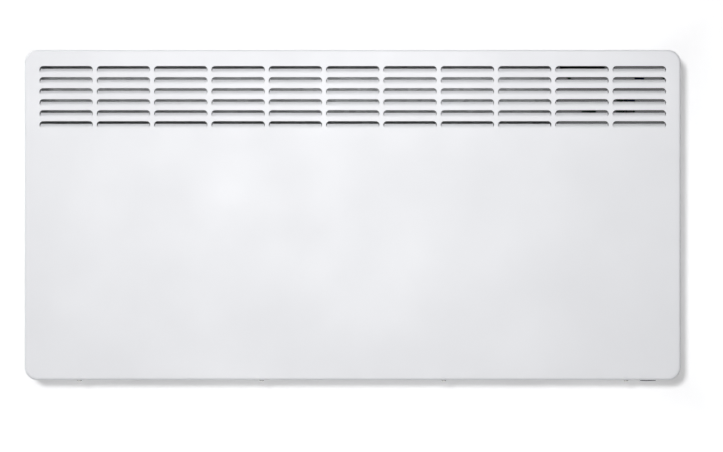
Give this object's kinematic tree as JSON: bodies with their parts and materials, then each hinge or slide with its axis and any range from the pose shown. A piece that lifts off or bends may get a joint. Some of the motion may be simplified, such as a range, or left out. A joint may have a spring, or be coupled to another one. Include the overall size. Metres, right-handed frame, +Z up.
{
  "type": "wall panel convector heater",
  "caption": "Flat white wall convector with rows of pressed air outlet louvres, side controls, switch below and a hook-on wall bracket.",
  "frame": {"origin": "on the wall plane, in the centre of the wall bracket's four screw holes", "axes": "+Z up, +X to the right of someone who faces the heater, +Y into the wall; the front faces -Y"},
  "size_m": [0.8948, 0.1, 0.4527],
  "materials": {
    "powder_white": "satin powder coat with a fine orange peel",
    "galvanised": "zinc coated sheet with a soft spangle",
    "zinc_steel": "bright zinc plated",
    "element_aluminium": "extruded, lightly oxidised",
    "tube_steel": "annealed stainless steel",
    "white_ceramic": "unglazed steatite",
    "black_plastic": "fine moulded texture",
    "key_grey": "fine moulded texture",
    "smoked_window": "polished",
    "display_grey": "reflective liquid crystal",
    "board_green": "solder resist",
    "relay_black": "moulded case",
    "coil_blue": "potted block",
    "capacitor_grey": "moulded case",
    "terminal_green": "moulded",
    "terminal_white": "moulded polyamide",
    "silicone_grey": "translucent silicone",
    "rubber_black": "matt",
    "tinned_brass": "tinned",
    "wire_brown": "silicone insulation",
    "wire_blue": "silicone insulation",
    "wire_black": "silicone insulation",
    "wire_white": "silicone insulation",
    "wire_earth": "green and yellow insulation"
  },
  "bodies": {
    "wall_bracket": {"bracket_leg_left": "galvanised", "bracket_leg_right": "galvanised", "bracket_rail_upper": "galvanised", "bracket_rail_lower": "galvanised", "bracket_rivets": "zinc_steel"},
    "heater": {"air_deflector": "galvanised", "board_terminal": "terminal_green", "capacitors": "capacitor_grey", "chassis_rivets": "zinc_steel", "control_fascia": "black_plastic", "control_housing": "black_plastic", "control_screws": "zinc_steel", "cover_screws": "zinc_steel", "cutout_bracket": "galvanised", "display_board": "board_green", "display_module": "display_grey", "display_window": "smoked_window", "earth_lug": "tinned_brass", "element_bushings": "white_ceramic", "element_terminals": "tinned_brass", "element_tube": "tube_steel", "front_cover": "powder_white", "heating_element": "element_aluminium", "inlet_gland": "black_plastic", "keypad_mat": "silicone_grey", "lip_screws": "zinc_steel", "overheat_cutout": "black_plastic", "partition": "galvanised", "power_board": "board_green", "rear_panel": "galvanised", "relay": "relay_black", "room_sensor": "rubber_black", "sensor_clip": "terminal_white", "small_screws": "zinc_steel", "support_rib_1": "galvanised", "support_rib_2": "galvanised", "support_rib_3": "galvanised", "support_rib_4": "galvanised", "switch_body": "black_plastic", "switch_tabs": "tinned_brass", "terminal_block": "terminal_white", "transformer": "coil_blue", "wall_spacers": "rubber_black", "wire_cutout": "wire_white", "wire_earth": "wire_earth", "wire_element": "wire_white", "wire_left": "wire_white", "wire_live": "wire_brown", "wire_neutral": "wire_blue", "wire_sensor": "wire_black", "wire_switched": "wire_black"},
    "lock_left": {"turn_lock_left": "black_plastic", "lock_retainer_left": "zinc_steel"},
    "lock_right": {"turn_lock_right": "black_plastic", "lock_retainer_right": "zinc_steel"},
    "rocker": {"rocker": "black_plastic"},
    "button_menu": {"button_menu": "key_grey"},
    "button_mode": {"button_mode": "key_grey"},
    "button_down": {"button_down": "key_grey"},
    "button_up": {"button_up": "key_grey"}
  },
  "joints": [
    {"name": "lift_off", "type": "slide", "parent": "wall_bracket", "child": "heater", "axis": [0, 0, 1], "range_m": [0, 0.009]},
    {"name": "lock_left_turn", "type": "hinge", "parent": "heater", "child": "lock_left", "pos_m": [-0.274, -0.0165, -0.2], "axis": [0, 0, 1], "range_deg": [0, 90]},
    {"name": "lock_right_turn", "type": "hinge", "parent": "heater", "child": "lock_right", "pos_m": [0.274, -0.0165, -0.2], "axis": [0, 0, -1], "range_deg": [0, 90]},
    {"name": "rocker_tilt", "type": "hinge", "parent": "heater", "child": "rocker", "pos_m": [0.403, -0.072, -0.2215], "axis": [1, 0, 0], "range_deg": [0, 20]},
    {"name": "menu_press", "type": "slide", "parent": "heater", "child": "button_menu", "axis": [-1, 0, 0], "range_m": [0, 0.0008], "stiffness_N_per_m": 400},
    {"name": "mode_press", "type": "slide", "parent": "heater", "child": "button_mode", "axis": [-1, 0, 0], "range_m": [0, 0.0008], "stiffness_N_per_m": 400},
    {"name": "down_press", "type": "slide", "parent": "heater", "child": "button_down", "axis": [-1, 0, 0], "range_m": [0, 0.0008], "stiffness_N_per_m": 400},
    {"name": "up_press", "type": "slide", "parent": "heater", "child": "button_up", "axis": [-1, 0, 0], "range_m": [0, 0.0008], "stiffness_N_per_m": 400}
  ]
}
